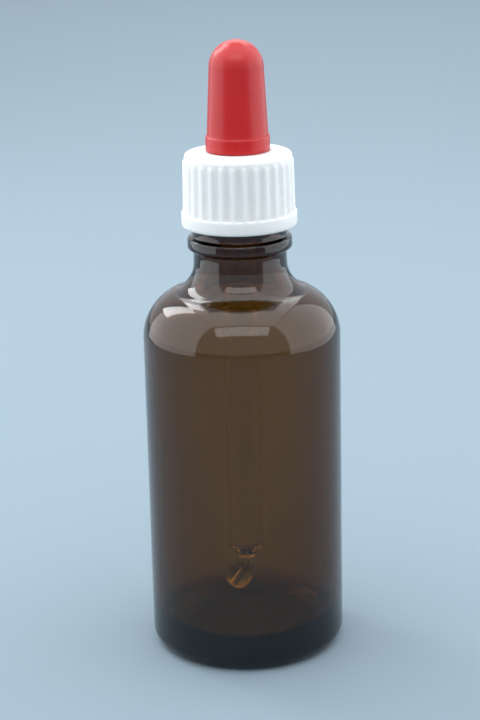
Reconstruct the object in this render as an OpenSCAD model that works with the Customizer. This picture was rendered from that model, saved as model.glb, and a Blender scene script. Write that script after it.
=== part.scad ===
// Amber glass dropper bottle: screw cap, rubber bulb and glass pipette.
// +Z is up and the origin is the centre of the ring that the bottle stands on.

/* [Bottle] */
// Outer diameter of the straight body
body_d = 37; // [36:0.5:38]
// Height at which the straight body ends and the shoulder begins
body_top = 61; // [60:0.5:62]
// Glass thickness of the body wall
wall_t = 1.8; // [1.4:0.1:2.2]
// Glass thickness at the centre of the base, above the push-up
base_t = 2.8; // [2.2:0.1:3.4]
// Height of the push-up in the middle of the base
push_up = 1.2; // [0.6:0.1:1.6]
// Outer radius of the heel, where the wall turns into the base
heel_r = 3; // [2.5:0.25:3.5]
// Outer radius of the rounded shoulder
shoulder_r = 9.4; // [9:0.1:9.8]
// Outer radius of the hollow curve from the shoulder into the neck
neck_fillet_r = 5.9; // [5.5:0.1:6.3]
// Outer diameter of the plain neck under the cap
neck_d = 17.4; // [17.2:0.1:17.6]
// Diameter of the bore through the threaded finish
bore_d = 10.8; // [10:0.1:11.5]
// Diameter of the bore where it widens in the neck below the finish
throat_d = 12.4; // [11.6:0.1:12.6]
// Outer diameter of the transfer bead round the neck
bead_d = 19.5; // [19:0.1:20]
// Height of the middle of the bead
bead_z = 78.9; // [78.7:0.1:79.1]
// Height of the bead
bead_h = 2.3; // [2.1:0.1:2.4]

/* [Screw thread] */
// Pitch of the single-start thread
pitch = 3; // [3:0.5:3]
// Outer diameter of the thread on the glass
thread_d = 17.7; // [17.6:0.1:17.8]
// Diameter of the finish between the turns of the thread
finish_d = 15.8; // [15.6:0.1:15.9]
// Turns of thread on the glass
glass_turns = 1.5; // [1.25:0.25:1.5]
// Turns of thread inside the cap
cap_turns = 1; // [1:0.25:1]

/* [Cap] */
// Height of the cap's lower edge
cap_bottom = 82.1; // [82:0.1:82.5]
// Height of the cap from its lower edge to its top
cap_h = 13.8; // [13.8:0.1:14.2]
// Outer diameter over the ribs at their lower end
rib_d = 20.7; // [20.5:0.1:20.9]
// How much narrower the ribbed wall is at its top
rib_taper = 0.4; // [0.2:0.1:0.6]
// Number of grip ribs
rib_count = 30; // [24:2:36]
// How far each rib stands out of the wall
rib_h = 0.28; // [0.2:0.02:0.36]
// Outer diameter of the smooth band at the lower edge
band_d = 21.3; // [21.1:0.1:21.5]
// Height of the smooth band
band_h = 2.7; // [2.4:0.1:3]
// Thickness of the cap's top
cap_top_t = 1.7; // [1.5:0.1:1.7]
// Diameter of the hole that the bulb comes through
cap_hole_d = 11; // [10.9:0.1:11.1]

/* [Bulb] */
// Height of the bulb above the cap's top
bulb_h = 20.1; // [18:0.1:23]
// Diameter of the collar that sits on the cap
collar_d = 11.8; // [11.6:0.1:12]
// Height of the collar
collar_h = 2.85; // [2.5:0.05:3.2]
// Diameter of the bulb just above its collar
bulb_d = 11.2; // [11:0.1:11.4]
// Diameter of the bulb where its dome begins
dome_d = 10; // [9.8:0.1:10.4]
// Thickness of the rubber
rubber_t = 1.1; // [0.9:0.05:1.2]
// Diameter of the flange clamped between the cap and the glass lip
flange_d = 16.4; // [15.5:0.1:16.8]
// Thickness of that flange
flange_t = 1.45; // [1.3:0.05:1.45]

/* [Pipette] */
// Outer diameter of the glass tube
tube_d = 7; // [6.8:0.1:7]
// Wall thickness of the glass tube
tube_t = 1; // [0.8:0.1:1.2]
// Height at which the tube ends inside the bulb
tube_top = 103; // [101:0.5:105]
// Height at which the tube starts to narrow
funnel_z = 18.2; // [17.8:0.1:20]
// Outer diameter of the narrow stem
stem_d = 3; // [2.6:0.1:3.2]
// Diameter of the ball at the tip
ball_d = 4.9; // [4.6:0.1:5.2]
// Diameter of the outlet through the stem and the ball
outlet_d = 0.9; // [0.7:0.1:1.1]
// Angle that the stem bends sideways above the ball
bend_angle = 35; // [25:5:40]

/* [Hidden] */
$fn = 96;

// Free gap between surfaces that slide or turn on each other
slip = 0.05;
// Straight steps in one arc of an outline
arc_steps = 10;

body_r = body_d / 2;
neck_r = neck_d / 2;
bore_r = bore_d / 2;
throat_r = throat_d / 2;
finish_r = finish_d / 2;
bead_r = bead_d / 2;

// Width of the ring that the bottle stands on
ring_w = 3.5;
inner_r = body_r - wall_t;
floor_z = push_up + base_t;
inner_heel_r = heel_r + wall_t;
stand_r = body_r - heel_r;
push_up_r = stand_r - ring_w;
push_up_curve = pow(push_up_r, 2) / (2 * push_up) + push_up / 2;
// How much more open the neck's hollow curve is inside than outside
fillet_gain = 1.1;
inner_fillet_r = neck_fillet_r + fillet_gain;

// Angle in degrees at which the neck leans in as it rises to the bead
neck_lean = 2.5;
bead_low = bead_z - bead_h / 2;
bead_high = bead_z + bead_h / 2;
bead_low_round = 0.7;
bead_high_round = 0.45;
// Angles at which the bead's lower rounding starts, and its upper one starts and ends
bead_low_start = -65;
bead_high_start = 5;
bead_high_end = 75;
// How much narrower the bead is at its upper edge
bead_draw = 0.08;
bead_corner = 0.3;

// The finish: lip, mouth, collar under the thread, and the cone from the collar to the thread
lip_z = 92.7;
lip_round = 0.8;
mouth_flare = 0.4;
mouth_h = 0.6;
collar_top = cap_bottom + 1.6;
collar_cone = 0.9;
throat_top = cap_bottom + 0.4;
throat_bottom = bead_z;

// Height of the hollow curve's centre, so that it meets the shoulder's arc smoothly
function fillet_z(shoulder, fillet, neck, centre_x) =
    body_top + sqrt(pow(shoulder + fillet, 2) - pow(neck + fillet - centre_x, 2));
// Angle from the shoulder's centre to the point where the two arcs meet
function meet_angle(shoulder, fillet, neck, centre_x) =
    acos((neck + fillet - centre_x) / (shoulder + fillet));
// Points of an arc about [x, y], from angle a to angle b
function arc(x, y, r, a, b, n = arc_steps) =
    [for (i = [0 : n]) let (t = a + (b - a) * i / n) [x + r * cos(t), y + r * sin(t)]];

shoulder_x = body_r - shoulder_r;
outer_fillet_z = fillet_z(shoulder_r, neck_fillet_r, neck_r, shoulder_x);
outer_meet = meet_angle(shoulder_r, neck_fillet_r, neck_r, shoulder_x);
lean_z = outer_fillet_z - neck_fillet_r * sin(neck_lean);
lean_r = neck_r + neck_fillet_r * (1 - cos(neck_lean));
neck_top_z = bead_low - bead_corner;
neck_top_r = lean_r - (neck_top_z - lean_z) * tan(neck_lean);
inner_shoulder_r = shoulder_r - wall_t;
inner_fillet_z = fillet_z(inner_shoulder_r, inner_fillet_r, throat_r, shoulder_x);
inner_meet = meet_angle(inner_shoulder_r, inner_fillet_r, throat_r, shoulder_x);

thread_r = thread_d / 2;
thread_z = 86;
// Half widths of a ridge at its root and its crest, on the glass and in the cap
thread_root = 0.95;
thread_crest = 0.45;
cap_thread_root = 0.8;
cap_thread_crest = 0.4;
cap_thread_start = 180;
// Radial gaps: glass thread to cap wall, and cap thread to glass
crest_gap = 0.2;
root_gap = 0.25;
cap_bore_r = thread_r + crest_gap;
cap_crest_r = finish_r + root_gap;
// How deep a ridge is sunk into its wall, the degrees per step, and the degrees of its run-out
thread_sink = 0.2;
thread_step = 15;
fade = 45;
// Share of the full height that a ridge keeps at its very end
ridge_end = 0.1;

cap_top = cap_bottom + cap_h;
cap_ceiling = cap_top - cap_top_t;
cap_flat_r = 7.1;
cap_slope = 0.3;
cap_round = 0.7;
// Angle at which the rounding of the top edge ends, and the steps in the cap's small arcs
cap_round_end = 80;
round_steps = 5;
edge_steps = 4;
wall_low_r = rib_d / 2 - rib_h;
wall_high_r = wall_low_r - rib_taper / 2;
rib_r = 0.45;
rib_sides = 24;
rib_stop = 1.1;
rib_top = cap_top - rib_stop;
band_round = 0.5;
band_edge = 0.3;
cap_flare = 0.3;
cap_flare_h = 0.4;

bulb_top = cap_top + bulb_h;
groove_r = cap_hole_d / 2 - 2 * slip;
collar_z = cap_top + slip;
collar_top_z = collar_z + collar_h;
collar_round = 0.35;
dome_z = bulb_top - dome_d / 2;
bulb_bore_r = tube_d / 2 + slip;
// The chamber starts this far above the cap's top
chamber_up = 1.3;
chamber_z = cap_top + chamber_up;
chamber_step = 0.6;
chamber_low_r = bulb_d / 2 - rubber_t;
chamber_high_r = dome_d / 2 - rubber_t;

tube_r = tube_d / 2;
tube_bore_r = tube_r - tube_t;
stem_r = stem_d / 2;
outlet_r = outlet_d / 2;
// The funnel goes from the tube, over its waist, to the stem
shoulder_up = 0.7;
waist_share = 0.68;
waist_r = waist_share * tube_r;
waist_down = 0.6;
stem_down = 1.7;
// How far the bore keeps its width above the funnel's shoulder, as a share of the tube's wall
bore_share = 0.3;
// The rim thickened by melting at the tube's top
rim_h = 1.2;
rim_z = tube_top - 0.6;
rim_r = 0.6;
rim_out = 0.35;
// Radius of the stem's bend, its start, and the straight length from its end to the ball
bend_r = 4;
bend_z = 16;
ball_drop = 1.5;
// More than the length from the bend through the ball, and past the tube's top
outlet_l = 12;
through = 1;

// Outline of the glass: outside from the base up, over the lip, and down the inside
module glass_outline() {
    outside = concat(
        arc(0, push_up - push_up_curve, push_up_curve, 90, 90 - asin(push_up_r / push_up_curve)),
        arc(stand_r, heel_r, heel_r, -90, 0),
        arc(shoulder_x, body_top, shoulder_r, 0, outer_meet),
        arc(neck_r + neck_fillet_r, outer_fillet_z, neck_fillet_r, 180 + outer_meet,
            180 + neck_lean),
        [[neck_top_r, neck_top_z]],
        arc(bead_r - bead_low_round, bead_low + bead_low_round, bead_low_round,
            bead_low_start, 0),
        arc(bead_r - bead_draw - bead_high_round, bead_high - bead_high_round,
            bead_high_round, bead_high_start, bead_high_end),
        [[neck_r, bead_high + bead_corner]],
        [[neck_r, collar_top], [finish_r, collar_top + collar_cone]],
        arc(finish_r - lip_round, lip_z - lip_round, lip_round, 0, 90)
    );
    inside = concat(
        [[bore_r + mouth_flare, lip_z], [bore_r, lip_z - mouth_h]],
        [[bore_r, throat_top], [throat_r, throat_bottom]],
        arc(throat_r + inner_fillet_r, inner_fillet_z, inner_fillet_r, 180, 180 + inner_meet),
        arc(shoulder_x, body_top, inner_shoulder_r, inner_meet, 0),
        arc(inner_r - inner_heel_r, floor_z + inner_heel_r, inner_heel_r, 0, -90),
        [[0, floor_z]]
    );
    polygon(concat(outside, inside));
}

// Height of a thread's ridge at a given angle, faded to nothing at both ends
function ridge(a, turns) = max(ridge_end, min(1, a / fade, (360 * turns - a) / fade));

// One helical ridge. It runs from root_r to crest_r, which may lie inside or outside root_r
module helix(root_r, crest_r, root_w, crest_w, turns, z, start) {
    steps = turns * 360 / thread_step;
    sink = crest_r > root_r ? -thread_sink : thread_sink;
    points = [for (i = [0 : steps])
        let (a = i * thread_step, k = ridge(a, turns), c = start + a, h = z + pitch * a / 360)
        for (p = [
            [root_r + sink, -root_w * k],
            [root_r + (crest_r - root_r) * k, -crest_w * k],
            [root_r + (crest_r - root_r) * k, crest_w * k],
            [root_r + sink, root_w * k]
        ]) [p[0] * cos(c), p[0] * sin(c), h + p[1]]];
    sides = [for (i = [0 : steps - 1], j = [0 : 3])
        let (k = (j + 1) % 4, n = 4 * i)
        crest_r > root_r
            ? [n + k, n + 4 + k, n + 4 + j, n + j]
            : [n + j, n + 4 + j, n + 4 + k, n + k]];
    last = 4 * steps;
    ends = crest_r > root_r
        ? [[3, 2, 1, 0], [last, last + 1, last + 2, last + 3]]
        : [[0, 1, 2, 3], [last + 3, last + 2, last + 1, last]];
    polyhedron(points, concat(sides, ends), convexity = 6);
}

module bottle() {
    color([0.20, 0.10, 0.05])
    union() {
        rotate_extrude() glass_outline();
        helix(finish_r, thread_r, thread_root, thread_crest, glass_turns, thread_z, 0);
    }
}

// Outline of the cap's wall, band and top, without ribs
module cap_outline() {
    polygon(concat(
        [[cap_bore_r + cap_flare, cap_bottom]],
        arc(band_d / 2 - band_round, cap_bottom + band_round, band_round, -90, 0, round_steps),
        arc(band_d / 2 - band_edge, cap_bottom + band_h - band_edge, band_edge, 0, 90, edge_steps),
        [[wall_low_r, cap_bottom + band_h]],
        arc(wall_high_r - cap_round, cap_top - cap_slope - cap_round, cap_round, 0, cap_round_end,
            round_steps),
        [[cap_flat_r, cap_top], [cap_hole_d / 2, cap_top]],
        [[cap_hole_d / 2, cap_ceiling], [cap_bore_r, cap_ceiling]],
        [[cap_bore_r, cap_bottom + cap_flare_h]]
    ));
}

// One grip rib, leaning in with the wall
module grip_rib() {
    rib_low = cap_bottom + band_h - band_edge;
    lean = atan((wall_low_r - wall_high_r) / (rib_top - rib_low));
    translate([wall_low_r + rib_h - rib_r, 0, rib_low])
        rotate([0, -lean, 0]) cylinder(r = rib_r, h = rib_top - rib_low, $fn = rib_sides);
}

module cap() {
    color([0.93, 0.95, 0.96])
    union() {
        rotate_extrude() cap_outline();
        for (i = [0 : rib_count - 1]) rotate(i * 360 / rib_count) grip_rib();
        helix(cap_bore_r, cap_crest_r, cap_thread_root, cap_thread_crest, cap_turns,
            thread_z - pitch / 2 + pitch * cap_thread_start / 360, cap_thread_start);
    }
}

module bulb() {
    color([0.75, 0.12, 0.12])
    rotate_extrude() polygon(concat(
        [[bulb_bore_r, lip_z], [flange_d / 2, lip_z]],
        [[flange_d / 2, lip_z + flange_t], [groove_r, lip_z + flange_t]],
        [[groove_r, collar_z], [collar_d / 2, collar_z]],
        arc(collar_d / 2 - collar_round, collar_top_z - collar_round, collar_round, 0, 90, 4),
        [[bulb_d / 2, collar_top_z]],
        arc(0, dome_z, dome_d / 2, 0, 90),
        arc(0, dome_z, chamber_high_r, 90, 0),
        [[chamber_low_r, chamber_z], [bulb_bore_r, chamber_z - chamber_step]]
    ));
}

// Carries its children from the tube's axis to the ball, along the bent stem
module at_bend_end() {
    translate([-bend_r, 0, bend_z])
        rotate([0, bend_angle, 0]) translate([bend_r, 0, 0]) children();
}

// A rod of radius r that follows the bend from the axis to the ball
module bent_rod(r) {
    translate([-bend_r, 0, bend_z]) rotate([-90, 0, 0])
        rotate_extrude(angle = bend_angle) translate([bend_r, 0]) circle(r, $fn = 32);
}

module pipette() {
    color([0.85, 0.90, 0.93])
    difference() {
        union() {
            rotate_extrude() polygon(concat(
                [[0, bend_z], [stem_r, bend_z], [stem_r, funnel_z - stem_down]],
                [[waist_r, funnel_z - waist_down], [tube_r, funnel_z + shoulder_up]],
                [[tube_r, tube_top - rim_h]],
                arc(tube_r + rim_out - rim_r, rim_z, rim_r, -50, 90, 6),
                [[0, tube_top]]
            ));
            bent_rod(stem_r);
            at_bend_end() translate([0, 0, -ball_drop]) sphere(ball_d / 2);
            at_bend_end() translate([0, 0, -ball_drop]) cylinder(r = stem_r, h = ball_drop);
        }
        rotate_extrude() polygon([
            [0, bend_z], [outlet_r, bend_z], [outlet_r, funnel_z - waist_down],
            [tube_bore_r, funnel_z + shoulder_up + bore_share * tube_t],
            [tube_bore_r, tube_top + through], [0, tube_top + through]
        ]);
        bent_rod(outlet_r);
        at_bend_end() translate([0, 0, -outlet_l]) cylinder(r = outlet_r, h = outlet_l);
    }
}

bottle();
cap();
bulb();
pipette();
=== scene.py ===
"""Amber glass dropper bottle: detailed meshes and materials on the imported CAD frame."""
import math

import bpy
from mathutils import Matrix, Vector, noise


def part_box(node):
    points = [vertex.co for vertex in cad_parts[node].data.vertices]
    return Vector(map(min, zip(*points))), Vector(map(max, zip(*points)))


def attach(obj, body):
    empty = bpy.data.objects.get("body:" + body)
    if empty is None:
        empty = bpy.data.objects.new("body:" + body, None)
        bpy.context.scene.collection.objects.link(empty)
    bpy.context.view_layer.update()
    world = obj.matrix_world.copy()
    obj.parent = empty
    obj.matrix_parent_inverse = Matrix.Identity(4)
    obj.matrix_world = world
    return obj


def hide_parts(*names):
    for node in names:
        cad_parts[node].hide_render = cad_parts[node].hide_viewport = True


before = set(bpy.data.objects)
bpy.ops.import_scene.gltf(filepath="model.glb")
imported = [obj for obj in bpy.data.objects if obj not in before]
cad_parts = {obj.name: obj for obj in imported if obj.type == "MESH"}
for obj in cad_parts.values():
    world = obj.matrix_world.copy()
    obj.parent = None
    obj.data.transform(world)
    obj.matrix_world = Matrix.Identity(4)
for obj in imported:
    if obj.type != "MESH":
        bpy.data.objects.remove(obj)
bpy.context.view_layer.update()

MM = 0.001

# Corners that the frame gives, in metres
BOTTLE_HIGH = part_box("bottle")[1]
CAP_LOW, CAP_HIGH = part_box("cap")
BULB_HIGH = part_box("bulb")[1]
PIPETTE_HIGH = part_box("pipette")[1]

BODY_R = BOTTLE_HIGH.x
LIP_Z = BOTTLE_HIGH.z
CAP_Z = CAP_LOW.z
CAP_TOP = CAP_HIGH.z
BAND_R = 10.65 * MM
FLANGE_R = BULB_HIGH.x
BULB_TOP = BULB_HIGH.z
TUBE_TOP = PIPETTE_HIGH.z

# The glass
BODY_TOP = 61 * MM
WALL = 1.8 * MM
PUSH_UP = 1.2 * MM
FLOOR_Z = 4.0 * MM
HEEL_R = 3.0 * MM
PUSH_UP_R = BODY_R - HEEL_R - 3.5 * MM
SHOULDER_R = 9.4 * MM
NECK_FILLET_R = 5.9 * MM
NECK_R = 8.7 * MM
NECK_LEAN = 2.5
FILLET_GAIN = 1.1 * MM
BORE_R = 5.4 * MM
THROAT_R = 6.2 * MM
THROAT_TOP = CAP_Z + 0.4 * MM
MOUTH_FLARE = 0.4 * MM
MOUTH_H = 0.6 * MM
BEAD_R = 9.75 * MM
BEAD_Z = 78.9 * MM
BEAD_HALF_H = 1.15 * MM
BEAD_LOW = BEAD_Z - BEAD_HALF_H
BEAD_HIGH = BEAD_Z + BEAD_HALF_H
BEAD_LOW_ROUND = 0.7 * MM
BEAD_HIGH_ROUND = 0.45 * MM
BEAD_LOW_START = -65
BEAD_HIGH_START = 5
BEAD_HIGH_END = 75
BEAD_DRAW = 0.08 * MM
BEAD_CORNER = 0.3 * MM
BEAD_FOOT_IN = 0.4 * MM
BEAD_FOOT_UP = 0.07 * MM
COLLAR_TOP = CAP_Z + 1.6 * MM
CONE_TOP = COLLAR_TOP + 0.9 * MM
FINISH_R = 7.9 * MM
LIP_ROUND = 0.8 * MM
EVEN_NECK_Z = BODY_TOP + 8 * MM
EVEN_FLOOR_R = 6 * MM

# The screw thread
PITCH = 3.0 * MM
THREAD_Z = 86.0 * MM
THREAD_R = 8.85 * MM
GLASS_TURNS = 1.5
CAP_TURNS = 1.0
CAP_THREAD_START = 180
THREAD_FADE = 45
GLASS_RIDGE = (0.95 * MM, 0.35 * MM)
CAP_RIDGE = (0.8 * MM, 0.3 * MM)
CAP_BORE_R = THREAD_R + 0.2 * MM
CAP_CREST_R = FINISH_R + 0.25 * MM

# The cap
BAND_H = 2.7 * MM
RIBS = 30
RIB_H = 0.28 * MM
RIB_HALF_WIDTH = 0.85 * MM
RIB_STOP = 1.25 * MM
RIB_FADE = 0.6 * MM
WALL_LOW_R = 10.35 * MM - RIB_H
WALL_HIGH_R = WALL_LOW_R - 0.2 * MM
CEILING_Z = CAP_TOP - 1.7 * MM
HOLE_R = 5.5 * MM
CAP_FLAT_R = 7.1 * MM
CAP_SLOPE = 0.3 * MM
CAP_FLARE = 0.3 * MM
CAP_FLARE_H = 0.4 * MM

# The bulb
COLLAR_R = 5.9 * MM
COLLAR_H = 2.85 * MM
BULB_LOW_R = 5.6 * MM
DOME_R = 5.0 * MM
RUBBER = 1.1 * MM
FLANGE_H = 1.45 * MM
GROOVE_R = 5.4 * MM
BULB_BORE_R = 3.55 * MM
GROOVE_TOP = CAP_TOP + 0.05 * MM
CHAMBER_Z = CAP_TOP + 1.3 * MM
CHAMBER_STEP = 0.6 * MM

# The pipette
TUBE_R = 3.5 * MM
TUBE_WALL = 1.0 * MM
FUNNEL_Z = 18.2 * MM
STEM_R = 1.5 * MM
OUTLET_R = 0.45 * MM
BEND_R = 4.0 * MM
BEND_Z = 16.0 * MM
BEND_ANGLE = math.radians(35)
BALL_R = 2.45 * MM
BALL_DROP = 1.5 * MM
RIM_OUT = 0.35 * MM
WAIST_SHARE = 0.68

# How fine the meshes are: points round each ring, and the longest step along an outline
GLASS_SIDES = 420
GLASS_STEP = 0.9 * MM
THREAD_STEP = 0.18 * MM
SIDES_PER_RIB = 16
CAP_STEP = 0.25 * MM
BULB_SIDES = 144
BULB_STEP = 0.35 * MM
PIPETTE_SIDES = 96
PIPETTE_STEP = 0.8 * MM

# ---------------------------------------------------------------- outlines


def arc(x, z, r, start, end, steps=14):
    """Points of an arc about (x, z), from start to end degrees."""
    turn = [math.radians(start + (end - start) * i / steps) for i in range(steps + 1)]
    return [(x + r * math.cos(t), z + r * math.sin(t)) for t in turn]


def eased(corners, steps=5):
    """An outline through corners (r, z, reach), each eased by a curve that starts reach away."""
    points = []
    for i, (r, z, reach) in enumerate(corners):
        corner = Vector((r, z))
        if not reach:
            points.append(tuple(corner))
            continue
        start = corner + (Vector(corners[i - 1][:2]) - corner).normalized() * reach
        end = corner + (Vector(corners[i + 1][:2]) - corner).normalized() * reach
        for step in range(steps + 1):
            t = step / steps
            points.append(tuple(start * (1 - t) ** 2 + corner * 2 * t * (1 - t) + end * t * t))
    return points


def refined(points, step):
    """The same outline with no gap between points longer than step."""
    out = [points[0]]
    for (r0, z0), (r1, z1) in zip(points, points[1:]):
        count = max(1, math.ceil(math.hypot(r1 - r0, z1 - z0) / step))
        out += [(r0 + (r1 - r0) * i / count, z0 + (z1 - z0) * i / count) for i in range(1, count + 1)]
    return out


def neck_curve(shoulder, fillet, neck):
    """Where the hollow neck curve's centre is, and the angle at which it meets the shoulder."""
    centre_x = BODY_R - SHOULDER_R
    across = neck + fillet - centre_x
    reach = shoulder + fillet
    return BODY_TOP + math.sqrt(reach**2 - across**2), math.degrees(math.acos(across / reach))


def glass_outside():
    """The bottle's outer skin, from the centre of the base up to the lip."""
    curve = PUSH_UP_R**2 / (2 * PUSH_UP) + PUSH_UP / 2
    half = math.degrees(math.asin(PUSH_UP_R / curve))
    fillet_z, meet = neck_curve(SHOULDER_R, NECK_FILLET_R, NECK_R)
    lean = math.radians(NECK_LEAN)
    lean_z = fillet_z - NECK_FILLET_R * math.sin(lean)
    lean_r = NECK_R + NECK_FILLET_R * (1 - math.cos(lean))
    under_bead = BEAD_LOW - BEAD_CORNER
    low_r = BEAD_R - BEAD_LOW_ROUND
    high_r = BEAD_R - BEAD_DRAW - BEAD_HIGH_ROUND
    low_z = BEAD_LOW + BEAD_LOW_ROUND
    high_z = BEAD_HIGH - BEAD_HIGH_ROUND
    points = arc(0, PUSH_UP - curve, curve, 90, 90 - half)
    points += arc(BODY_R - HEEL_R, HEEL_R, HEEL_R, -90, 0)
    points += arc(BODY_R - SHOULDER_R, BODY_TOP, SHOULDER_R, 0, meet, 28)
    points += arc(NECK_R + NECK_FILLET_R, fillet_z, NECK_FILLET_R, 180 + meet, 180 + NECK_LEAN, 24)
    points += eased([
        (lean_r, lean_z, 0),
        (lean_r - (under_bead - lean_z) * math.tan(lean), under_bead, 0.25 * MM),
        (BEAD_R - BEAD_FOOT_IN, BEAD_LOW + BEAD_FOOT_UP, 0),
    ])[1:-1]
    points += arc(low_r, low_z, BEAD_LOW_ROUND, BEAD_LOW_START, 0, 10)
    points += arc(high_r, high_z, BEAD_HIGH_ROUND, BEAD_HIGH_START, BEAD_HIGH_END, 8)
    points += eased([
        (BEAD_R - BEAD_HIGH_ROUND, BEAD_HIGH, 0),
        (NECK_R, BEAD_HIGH + BEAD_CORNER, 0.25 * MM),
        (NECK_R, COLLAR_TOP, 0.2 * MM),
        (FINISH_R, CONE_TOP, 0.2 * MM),
        (FINISH_R, THREAD_Z, 0),
    ])[1:-1]
    points += arc(FINISH_R - LIP_ROUND, LIP_Z - LIP_ROUND, LIP_ROUND, 0, 90, 8)
    return points


def glass_inside():
    """The bottle's inner skin, from the lip down to the centre of the floor."""
    inner_shoulder = SHOULDER_R - WALL
    inner_fillet = NECK_FILLET_R + FILLET_GAIN
    heel = HEEL_R + WALL
    inner_r = BODY_R - WALL
    fillet_z, meet = neck_curve(inner_shoulder, inner_fillet, THROAT_R)
    points = eased([
        (BORE_R + MOUTH_FLARE, LIP_Z, 0),
        (BORE_R, LIP_Z - MOUTH_H, 0.3 * MM),
        (BORE_R, THROAT_TOP, 1.2 * MM),
        (THROAT_R, BEAD_Z, 1.2 * MM),
        (THROAT_R, fillet_z, 0),
    ])
    points += arc(THROAT_R + inner_fillet, fillet_z, inner_fillet, 180, 180 + meet, 24)[1:]
    points += arc(BODY_R - SHOULDER_R, BODY_TOP, inner_shoulder, meet, 0, 28)
    points += arc(inner_r - heel, FLOOR_Z + heel, heel, 0, -90, 16)
    return points + [(0, FLOOR_Z)]


def cap_outline():
    """The cap's section: the band and wall going up, over the top, and down the inside."""
    band = 0.5 * MM
    edge = 0.3 * MM
    rim = 0.7 * MM
    hole = 0.2 * MM
    foot = (CAP_BORE_R + CAP_FLARE, CAP_Z)
    points = [foot]
    points += arc(BAND_R - band, CAP_Z + band, band, -90, 0, 6)
    points += arc(BAND_R - edge, CAP_Z + BAND_H - edge, edge, 0, 90, 5)
    points += [(WALL_LOW_R, CAP_Z + BAND_H)]
    points += arc(WALL_HIGH_R - rim, CAP_TOP - CAP_SLOPE - rim, rim, 0, 80, 8)
    points += [(CAP_FLAT_R, CAP_TOP)]
    points += arc(HOLE_R + hole, CAP_TOP - hole, hole, 90, 180, 4)
    points += [(HOLE_R, CEILING_Z), (CAP_BORE_R, CEILING_Z)]
    return points + [(CAP_BORE_R, CAP_Z + CAP_FLARE_H), foot]


def bulb_outline():
    """The bulb's section, from the top of its chamber down, round the flange and up to the tip."""
    flange_top = LIP_Z + FLANGE_H
    dome_z = BULB_TOP - DOME_R
    points = arc(0, dome_z, DOME_R - RUBBER, 90, 0, 16)
    points += eased([
        (BULB_LOW_R - RUBBER, CHAMBER_Z, 0),
        (BULB_BORE_R, CHAMBER_Z - CHAMBER_STEP, 0.2 * MM),
        (BULB_BORE_R, LIP_Z, 0),
        (FLANGE_R, LIP_Z, 0.2 * MM),
        (FLANGE_R, flange_top, 0.2 * MM),
        (GROOVE_R, flange_top, 0),
        (GROOVE_R, GROOVE_TOP, 0),
        (COLLAR_R, GROOVE_TOP, 0.2 * MM),
        (COLLAR_R, GROOVE_TOP + COLLAR_H, 0.45 * MM),
        (BULB_LOW_R, GROOVE_TOP + COLLAR_H, 0.1 * MM),
        (DOME_R, dome_z, 0),
    ])
    return points + arc(0, dome_z, DOME_R, 0, 90, 32)[1:]


# ---------------------------------------------------------------- surface detail


def smooth(x):
    """0 below 0, 1 above 1, and a smooth step between."""
    x = min(1.0, max(0.0, x))
    return x * x * (3 - 2 * x)


def thread(angle, z, turns, start, start_z, ridge):
    """How much of a thread's height stands at this angle (degrees) and height. ridge holds the
    half widths of its root and its crest."""
    root, crest = ridge
    best = 0.0
    for lap in range(-1, 3):
        along = (angle - start) % 360 + 360 * lap
        fade = min(1, along / THREAD_FADE, (360 * turns - along) / THREAD_FADE)
        if fade <= 0:
            continue
        off = abs(z - start_z - PITCH * along / 360)
        best = max(best, fade * smooth((root - off) / (root - crest)))
    return best


def glass_thread(angle, z):
    """The thread outside the glass finish."""
    return thread(angle, z, GLASS_TURNS, 0, THREAD_Z, GLASS_RIDGE)


def cap_thread(angle, z):
    """The thread inside the cap, half a pitch below the glass one, so that they mesh."""
    start_z = THREAD_Z - PITCH / 2 + PITCH * CAP_THREAD_START / 360
    return thread(angle, z, CAP_TURNS, CAP_THREAD_START, start_z, CAP_RIDGE)


def rib(angle, z):
    """Height share of the nearest grip rib, rounded off at its upper end."""
    pitch = 360 / RIBS
    off = abs((angle + pitch / 2) % pitch - pitch / 2)
    across = off * math.pi / 180 * WALL_LOW_R / RIB_HALF_WIDTH
    cut = smooth((CAP_TOP - RIB_STOP - z) / RIB_FADE)
    return cut * smooth(1 - across)


def ripple(angle, z, size, height, seed):
    """A slow random wave over a turned surface, the same all the way round."""
    a = math.radians(angle)
    reach = BODY_R / size
    return height * noise.noise(Vector((math.cos(a) * reach, math.sin(a) * reach + seed, z / size)))


def seam(angle, at, width, height):
    """A mould's faint seam on two opposite sides, at this angle and half a turn from it."""
    return height * math.exp(-(((angle - at + 90) % 180 - 90) / width) ** 2)


def shape_outside(angle, r, z):
    """The glass outside: thread, slight waviness and mould seam."""
    if z > CONE_TOP:
        return r + (THREAD_R - FINISH_R) * glass_thread(angle, z)
    if r < PUSH_UP_R or z < HEEL_R:
        return r
    wave = ripple(angle, z, size=22 * MM, height=0.03 * MM, seed=3)
    return r + wave + seam(angle, at=0, width=0.8, height=0.02 * MM)


def shape_inside(angle, r, z):
    """The blown inside, less even than the moulded outside, but even in the neck and mid-floor."""
    if z > EVEN_NECK_Z or r < EVEN_FLOOR_R:
        return r
    return r + ripple(angle, z, size=17 * MM, height=0.16 * MM, seed=9)


def shape_cap(angle, r, z):
    """Ribs outside and thread inside."""
    near = 0.05 * MM
    mid_wall = (CAP_BORE_R + WALL_HIGH_R) / 2
    under_ceiling = CEILING_Z - 0.3 * MM
    if r > mid_wall and z > CAP_Z + BAND_H - near:
        return r + RIB_H * rib(angle, z)
    if abs(r - CAP_BORE_R) < near and z < under_ceiling:
        return r - (CAP_BORE_R - CAP_CREST_R) * cap_thread(angle, z)
    return r


def shape_bulb(angle, r, z):
    """Worn rubber: slow unevenness and a mould seam, above the collar."""
    tip_r = 0.5 * MM
    if z < CAP_TOP + COLLAR_H or r < tip_r:
        return r
    wave = ripple(angle, z, size=12 * MM, height=0.05 * MM, seed=5)
    return r + wave + seam(angle, at=32, width=2.0, height=0.03 * MM)


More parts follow.
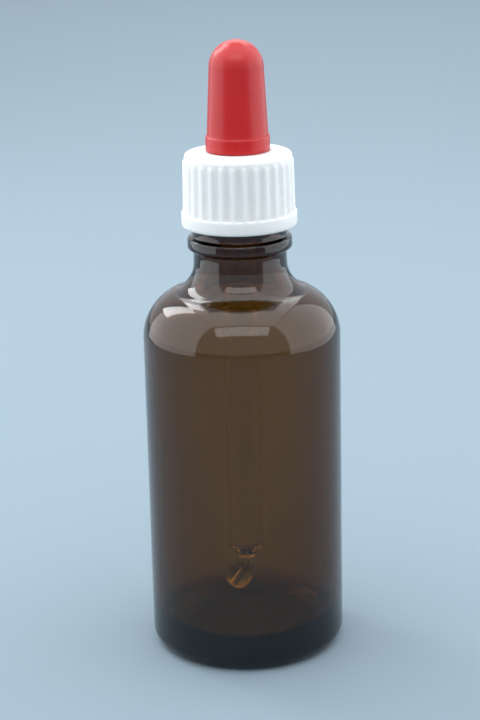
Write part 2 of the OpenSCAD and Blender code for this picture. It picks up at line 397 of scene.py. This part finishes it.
# ---------------------------------------------------------------- mesh making


def make_object(name, verts, faces, body, node, material):
    """A smooth-shaded mesh that rides on a CAD body and stands for a CAD node."""
    mesh = bpy.data.meshes.new(name)
    mesh.from_pydata(verts, [], faces)
    mesh.polygons.foreach_set("use_smooth", [True] * len(mesh.polygons))
    mesh.materials.append(material)
    mesh.validate()
    obj = bpy.data.objects.new(name, mesh)
    bpy.context.scene.collection.objects.link(obj)
    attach(obj, body)
    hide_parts(node)


def ring_faces(rings, sides, closed):
    """Quads between neighbouring rings of points, and between the last and the first if closed."""
    faces = []
    for i in range(rings if closed else rings - 1):
        low, high = i * sides, (i + 1) % rings * sides
        for j in range(sides):
            k = (j + 1) % sides
            faces.append((low + j, low + k, high + k, high + j))
    return faces


def revolve(parts, sides):
    """Turns a chain of outlines round Z, each with the function that shapes its rings. A chain
    that starts and ends on the axis is closed there by fans, and any other is a loop."""
    chain = [(r, z, shape) for outline, shape in parts for r, z in outline]
    on_axis = chain[0][0] < 1e-9
    rings = chain[1:-1] if on_axis else chain[:-1]
    verts = []
    for r, z, shape in rings:
        for j in range(sides):
            angle = 360 * j / sides
            turn = math.radians(angle)
            radius = shape(angle, r, z)
            verts.append((radius * math.cos(turn), radius * math.sin(turn), z))
    faces = ring_faces(len(rings), sides, not on_axis)
    if on_axis:
        first, last = len(verts), len(verts) + 1
        verts += [(0, 0, chain[0][1]), (0, 0, chain[-1][1])]
        top = (len(rings) - 1) * sides
        faces += [(first, (j + 1) % sides, j) for j in range(sides)]
        faces += [(last, top + j, top + (j + 1) % sides) for j in range(sides)]
    return verts, faces


def stem_line(s):
    """Point and direction of the pipette's centre line, s metres down from its top."""
    straight = TUBE_TOP - BEND_Z
    if s <= straight:
        return Vector((0, 0, TUBE_TOP - s)), 0.0
    turn = min((s - straight) / BEND_R, BEND_ANGLE)
    x = -BEND_R * (1 - math.cos(turn))
    z = BEND_Z - BEND_R * math.sin(turn)
    beyond = s - straight - BEND_R * turn
    if turn >= BEND_ANGLE:
        x -= beyond * math.sin(turn)
        z -= beyond * math.cos(turn)
    return Vector((x, 0, z)), turn


def pipette_skin():
    """(radius, distance from the top) of the outside going down and the bore coming back up."""
    funnel = TUBE_TOP - FUNNEL_Z
    ball = TUBE_TOP - BEND_Z + BEND_R * BEND_ANGLE + BALL_DROP
    neck_in = ball - math.sqrt(BALL_R**2 - STEM_R**2)
    outlet = ball + math.sqrt(BALL_R**2 - OUTLET_R**2)
    bore_r = TUBE_R - TUBE_WALL
    waist_r = WAIST_SHARE * TUBE_R
    rim_r = TUBE_R + RIM_OUT
    rim_h = 1.1 * MM
    rim_end = 1.7 * MM
    shoulder = funnel - 0.7 * MM
    waist = funnel + 0.6 * MM
    stem = funnel + 1.7 * MM
    bore_end = funnel - 1.0 * MM
    outside = eased([
        (bore_r, 0, 0),
        (rim_r, 0, 0.45 * MM),
        (rim_r, rim_h, 0.4 * MM),
        (TUBE_R, rim_end, 0.5 * MM),
        (TUBE_R, shoulder, 0.25 * MM),
        (waist_r, waist, 0.5 * MM),
        (STEM_R, stem, 0.5 * MM),
        (STEM_R, neck_in, 0),
    ])
    start = math.degrees(math.acos(STEM_R / BALL_R))
    end = math.degrees(math.acos(OUTLET_R / BALL_R))
    outside += arc(0, ball, BALL_R, -start, end, 26)[1:]
    bore = eased([
        (OUTLET_R, outlet, 0),
        (OUTLET_R, waist, 0.5 * MM),
        (bore_r, bore_end, 0.6 * MM),
        (bore_r, 0, 0),
    ])
    return outside + bore[1:]


def sweep_skin(skin, sides):
    """Rings along the pipette's bent centre line, one for each point of its skin."""
    verts = []
    for r, s in skin[:-1]:
        centre, turn = stem_line(s)
        for j in range(sides):
            a = -2 * math.pi * j / sides
            x, y = r * math.cos(a), r * math.sin(a)
            verts.append(centre + Vector((x * math.cos(turn), y, -x * math.sin(turn))))
    return verts, ring_faces(len(skin) - 1, sides, True)


# ---------------------------------------------------------------- materials


class Nodes:
    """A material's node tree, with short calls for the nodes used here."""

    def __init__(self, name):
        self.material = bpy.data.materials.new(name)
        self.material.use_nodes = True
        self.tree = self.material.node_tree
        self.shader = self.tree.nodes["Principled BSDF"]
        self.output = self.tree.nodes["Material Output"]

    def add(self, kind, **values):
        node = self.tree.nodes.new(kind)
        for key, value in values.items():
            setattr(node, key, value)
        return node

    def link(self, source, target):
        self.tree.links.new(source, target)

    def place(self):
        """The point being shaded, in the object's own metres."""
        return self.add("ShaderNodeTexCoord").outputs["Object"]

    def noise(self, scale, detail=3.0, rough=0.5, stretch=(1, 1, 1)):
        """A noise value. scale is in features per metre, and stretch divides it along X, Y, Z."""
        mapping = self.add("ShaderNodeMapping")
        mapping.inputs["Scale"].default_value = stretch
        self.link(self.place(), mapping.inputs["Vector"])
        node = self.add("ShaderNodeTexNoise")
        node.inputs["Scale"].default_value = scale
        node.inputs["Detail"].default_value = detail
        node.inputs["Roughness"].default_value = rough
        self.link(mapping.outputs["Vector"], node.inputs["Vector"])
        return node.outputs["Fac"]

    def remap(self, value, low, high, out_low, out_high):
        node = self.add("ShaderNodeMapRange", interpolation_type="SMOOTHSTEP")
        self.link(value, node.inputs["Value"])
        limits = {"From Min": low, "From Max": high, "To Min": out_low, "To Max": out_high}
        for socket, number in limits.items():
            node.inputs[socket].default_value = number
        return node.outputs["Result"]

    def mix(self, value, a, b):
        """A colour between a and b."""
        node = self.add("ShaderNodeMix", data_type="RGBA")
        self.link(value, node.inputs["Factor"])
        node.inputs[6].default_value = (*a, 1)
        node.inputs[7].default_value = (*b, 1)
        return node.outputs[2]

    def bump(self, height, strength, distance):
        node = self.add("ShaderNodeBump")
        node.inputs["Strength"].default_value = strength
        node.inputs["Distance"].default_value = distance
        self.link(height, node.inputs["Height"])
        return node.outputs["Normal"]

    def set(self, **sockets):
        """Sets the shader's own sockets. A word's underscores are spaces."""
        for key, value in sockets.items():
            self.shader.inputs[key.replace("_", " ")].default_value = value

    def absorb(self, colour, density):
        """Plain absorption inside the piece."""
        volume = self.add("ShaderNodeVolumeAbsorption")
        volume.inputs["Color"].default_value = (*colour, 1)
        volume.inputs["Density"].default_value = density
        self.link(volume.outputs["Volume"], self.output.inputs["Volume"])


def amber_glass():
    """Moulded amber glass: deep brown by absorption, with faint orange peel and handling marks."""
    n = Nodes("amber_glass")
    n.set(IOR=1.52, Transmission_Weight=1.0)
    tint = n.noise(60, 2)
    n.link(n.mix(tint, (0.96, 0.95, 0.94), (1, 1, 1)), n.shader.inputs["Base Color"])
    marks = n.noise(350, 1, 0.5, (1, 1, 0.35))
    n.link(n.remap(marks, 0.5, 0.8, 0.0, 0.03), n.shader.inputs["Roughness"])
    n.link(n.bump(n.noise(160, 2), 0.15, 0.02 * MM), n.shader.inputs["Normal"])
    n.absorb((0.69, 0.525, 0.014), 1750)
    return n.material


def clear_glass():
    """Drawn tube: nearly colourless, with fine lengthwise draw lines."""
    n = Nodes("clear_glass")
    n.set(IOR=1.47, Transmission_Weight=1.0)
    lines = n.noise(2500, 2, 0.5, (1, 1, 0.01))
    n.link(n.mix(lines, (0.97, 0.985, 0.98), (1, 1, 1)), n.shader.inputs["Base Color"])
    n.link(n.remap(n.noise(700, 3), 0.5, 0.8, 0.0, 0.04), n.shader.inputs["Roughness"])
    n.link(n.bump(lines, 0.1, 0.01 * MM), n.shader.inputs["Normal"])
    n.absorb((0.86, 0.95, 0.9), 40)
    return n.material


def white_plastic():
    """Moulded polypropylene: cool white, slightly translucent, satin with fine grain."""
    n = Nodes("white_plastic")
    n.set(Subsurface_Weight=1.0, Subsurface_Scale=1.8 * MM, IOR=1.49)
    n.shader.inputs["Subsurface Radius"].default_value = (1.0, 1.0, 1.0)
    cloud = n.noise(180, 3)
    n.link(n.mix(cloud, (0.69, 0.69, 0.675), (0.73, 0.73, 0.715)), n.shader.inputs["Base Color"])
    grain = n.noise(5200, 3, 0.6)
    n.link(n.remap(grain, 0.3, 0.7, 0.52, 0.66), n.shader.inputs["Roughness"])
    n.link(n.bump(grain, 0.25, 0.02 * MM), n.shader.inputs["Normal"])
    return n.material


def red_rubber():
    """Natural rubber: saturated red, soft sheen, dusty specks and slow cloudiness."""
    n = Nodes("red_rubber")
    n.set(IOR=1.49, Sheen_Weight=0.03, Sheen_Roughness=0.4)
    cloud = n.noise(260, 4, 0.6)
    n.link(n.mix(cloud, (0.38, 0.0015, 0.002), (0.49, 0.004, 0.005)), n.shader.inputs["Base Color"])
    grain = n.noise(3800, 3, 0.6)
    n.link(n.remap(grain, 0.3, 0.75, 0.27, 0.37), n.shader.inputs["Roughness"])
    n.link(n.bump(grain, 0.3, 0.03 * MM), n.shader.inputs["Normal"])
    return n.material


def paper():
    """The pale sheet that the bottle stands on."""
    n = Nodes("pale_paper")
    fibre = n.noise(1400, 4, 0.6)
    n.link(n.mix(fibre, (0.20, 0.26, 0.30), (0.22, 0.28, 0.325)), n.shader.inputs["Base Color"])
    n.set(Roughness=0.85)
    n.link(n.bump(fibre, 0.05, 0.02 * MM), n.shader.inputs["Normal"])
    return n.material


# ---------------------------------------------------------------- pieces


def make_bottle():
    """The glass, with closer rings where the thread is."""
    outside = glass_outside()
    under_thread = CONE_TOP - 0.1 * MM
    finish = next(i for i, point in enumerate(outside) if point[1] > under_thread)
    outside = refined(outside[:finish], GLASS_STEP) + refined(outside[finish:], THREAD_STEP)
    inside = refined(glass_inside(), GLASS_STEP)
    verts, faces = revolve([(outside, shape_outside), (inside, shape_inside)], GLASS_SIDES)
    make_object("glass_bottle", verts, faces, "bottle", "bottle", amber_glass())


def make_cap():
    """The cap, with the same number of points round every rib."""
    outline = refined(cap_outline(), CAP_STEP)
    verts, faces = revolve([(outline, shape_cap)], SIDES_PER_RIB * RIBS)
    make_object("ribbed_cap", verts, faces, "cap", "cap", white_plastic())


def make_bulb():
    """The bulb and its flange, one turned piece of rubber."""
    outline = refined(bulb_outline(), BULB_STEP)
    verts, faces = revolve([(outline, shape_bulb)], BULB_SIDES)
    make_object("rubber_bulb", verts, faces, "bulb", "bulb", red_rubber())


def make_pipette():
    """The tube, funnel, stem and ball, one skin along the bent centre line."""
    verts, faces = sweep_skin(refined(pipette_skin(), PIPETTE_STEP), PIPETTE_SIDES)
    make_object("glass_pipette", verts, faces, "pipette", "pipette", clear_glass())


# ---------------------------------------------------------------- stage


def make_floor():
    """A sheet just under the glass, so that the two surfaces don't coincide."""
    half = 3.0
    drop = 0.02 * MM
    mesh = bpy.data.meshes.new("floor")
    corners = [(-half, -half, -drop), (half, -half, -drop), (half, half, -drop), (-half, half, -drop)]
    mesh.from_pydata(corners, [], [(0, 1, 2, 3)])
    mesh.materials.append(paper())
    floor = bpy.data.objects.new("floor", mesh)
    bpy.context.scene.collection.objects.link(floor)


LIGHT_COLOUR = (0.94, 0.975, 1.0)
WORLD_COLOUR = (0.80, 0.86, 0.92, 1)
WORLD_STRENGTH = 1.0
CAMERA_PLACE = (0, -0.340, 0.160)
CAMERA_LENS = 94.4
PITCH_DOWN = math.radians(17.02)
YAW = math.radians(-0.08)
ROLL = math.radians(-1.30)


def softbox(name, place, turn, size, radiance):
    """A rectangular light that shines down before it is turned by these X, Y and Z degrees.
    Its power follows from its size and how bright it looks."""
    light = bpy.data.lights.new(name, "AREA")
    light.shape = "RECTANGLE"
    light.color = LIGHT_COLOUR
    light.size, light.size_y = size
    light.energy = radiance * 4 * size[0] * size[1]
    lamp = bpy.data.objects.new(name, light)
    lamp.location = place
    lamp.rotation_euler = [math.radians(angle) for angle in turn]
    bpy.context.scene.collection.objects.link(lamp)


def make_lights():
    """A light tent round the bottle: side walls, a lamp on the left behind it, a roof that slopes
    down to the front and is open at the middle of its back, and a roof further back. Two more
    lights shine outwards from the walls, so that the walls leave no edge on the floor."""
    softbox("left_wall", (-0.35, 0.045, 0.31), (0, -90, 0), (0.62, 0.61), 1.15)
    softbox("right_wall", (0.35, 0.08, 0.31), (0, 90, 0), (0.62, 0.66), 1.0)
    softbox("left_outer", (-0.351, 0.045, 0.31), (0, 90, 0), (0.62, 0.61), 1.15)
    softbox("right_outer", (0.351, 0.08, 0.31), (0, -90, 0), (0.62, 0.66), 1.0)
    softbox("high_lamp", (-0.34, 0.52, 0.79), (0, -90, 0), (0.28, 0.36), 4.2)
    softbox("low_lamp", (-0.34, 0.315, 0.455), (0, -90, 0), (0.39, 0.21), 4.8)
    softbox("roof", (0.0, -0.045, 0.62), (0, 0, 0), (0.68, 0.39), 1.15)
    softbox("left_roof", (-0.27, 0.305, 0.62), (0, 0, 0), (0.14, 0.31), 1.3)
    softbox("right_roof", (0.27, 0.305, 0.62), (0, 0, 0), (0.14, 0.31), 1.3)
    softbox("front_roof", (0.0, -0.38, 0.57), (37, 0, 0), (0.64, 0.24), 1.9)
    softbox("back_roof", (0.0, 1.0, 0.80), (0, 0, 0), (0.9, 0.8), 1.8)
    world = bpy.data.worlds.new("studio")
    world.use_nodes = True
    background = world.node_tree.nodes["Background"]
    background.inputs["Color"].default_value = WORLD_COLOUR
    background.inputs["Strength"].default_value = WORLD_STRENGTH
    bpy.context.scene.world = world


def make_camera():
    """A long lens a little above the bottle, looking down 17 degrees, with a slight roll."""
    forward = Vector((
        math.sin(YAW) * math.cos(PITCH_DOWN),
        math.cos(YAW) * math.cos(PITCH_DOWN),
        -math.sin(PITCH_DOWN),
    ))
    right = forward.cross(Vector((0, 0, 1))).normalized()
    up = right.cross(forward)
    tilted_right = right * math.cos(ROLL) + up * math.sin(ROLL)
    tilted_up = up * math.cos(ROLL) - right * math.sin(ROLL)
    turned = Matrix((tilted_right, tilted_up, -forward)).transposed().to_4x4()
    data = bpy.data.cameras.new("camera")
    data.lens = CAMERA_LENS
    camera = bpy.data.objects.new("camera", data)
    camera.matrix_world = Matrix.Translation(CAMERA_PLACE) @ turned
    bpy.context.scene.collection.objects.link(camera)
    bpy.context.scene.camera = camera


make_camera()
make_bottle()
make_cap()
make_bulb()
make_pipette()
make_floor()
make_lights()

bpy.context.scene.view_settings.view_transform = "Standard"
